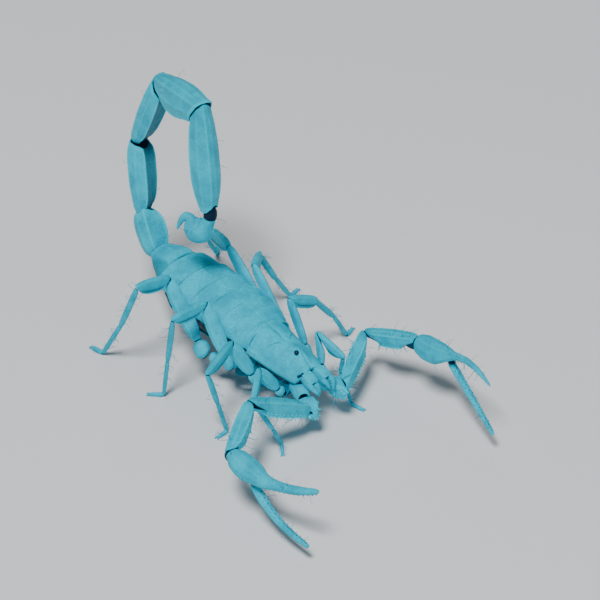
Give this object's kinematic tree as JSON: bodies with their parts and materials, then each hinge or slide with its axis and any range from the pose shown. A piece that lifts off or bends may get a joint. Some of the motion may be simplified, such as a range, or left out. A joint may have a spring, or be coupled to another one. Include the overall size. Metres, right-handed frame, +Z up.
{
  "type": "scorpion specimen",
  "caption": "Dry bark scorpion standing on its feet, glowing cyan, with its long keeled tail arched over the back and slender claws reaching forward.",
  "frame": {"origin": "middle of the bounding box at the soles of the feet", "axes": "+Z up, the head points to -Y, the animal's left side is +X"},
  "size_m": [0.0196, 0.0312, 0.0203],
  "materials": {
    "body_cuticle": "satin, finely granular",
    "tail_cuticle": "satin with pale keels",
    "pedipalp_cuticle": "satin with granular keels",
    "leg_cuticle": "satin"
  },
  "bodies": {
    "root": {"carapace": "body_cuticle", "chelicera_left": "body_cuticle", "chelicera_right": "body_cuticle", "coxosternum": "body_cuticle", "hand_left": "pedipalp_cuticle", "hand_right": "pedipalp_cuticle", "leg_1_left_femur": "leg_cuticle", "leg_1_left_patella": "leg_cuticle", "leg_1_left_tarsus": "leg_cuticle", "leg_1_left_tibia": "leg_cuticle", "leg_1_right_femur": "leg_cuticle", "leg_1_right_patella": "leg_cuticle", "leg_1_right_tarsus": "leg_cuticle", "leg_1_right_tibia": "leg_cuticle", "leg_2_left_femur": "leg_cuticle", "leg_2_left_patella": "leg_cuticle", "leg_2_left_tarsus": "leg_cuticle", "leg_2_left_tibia": "leg_cuticle", "leg_2_right_femur": "leg_cuticle", "leg_2_right_patella": "leg_cuticle", "leg_2_right_tarsus": "leg_cuticle", "leg_2_right_tibia": "leg_cuticle", "leg_3_left_femur": "leg_cuticle", "leg_3_left_patella": "leg_cuticle", "leg_3_left_tarsus": "leg_cuticle", "leg_3_left_tibia": "leg_cuticle", "leg_3_right_femur": "leg_cuticle", "leg_3_right_patella": "leg_cuticle", "leg_3_right_tarsus": "leg_cuticle", "leg_3_right_tibia": "leg_cuticle", "leg_4_left_femur": "leg_cuticle", "leg_4_left_patella": "leg_cuticle", "leg_4_left_tarsus": "leg_cuticle", "leg_4_left_tibia": "leg_cuticle", "leg_4_right_femur": "leg_cuticle", "leg_4_right_patella": "leg_cuticle", "leg_4_right_tarsus": "leg_cuticle", "leg_4_right_tibia": "leg_cuticle", "mesosoma": "body_cuticle", "movable_finger_left": "pedipalp_cuticle", "movable_finger_right": "pedipalp_cuticle", "pecten_left": "body_cuticle", "pecten_right": "body_cuticle", "pedipalp_femur_left": "pedipalp_cuticle", "pedipalp_femur_right": "pedipalp_cuticle", "pedipalp_patella_left": "pedipalp_cuticle", "pedipalp_patella_right": "pedipalp_cuticle", "pedipalp_trochanter_left": "pedipalp_cuticle", "pedipalp_trochanter_right": "pedipalp_cuticle", "tail_segment_1": "tail_cuticle", "tail_segment_2": "tail_cuticle", "tail_segment_3": "tail_cuticle", "tail_segment_4": "tail_cuticle", "tail_segment_5": "tail_cuticle", "telson": "tail_cuticle"}
  },
  "joints": []
}
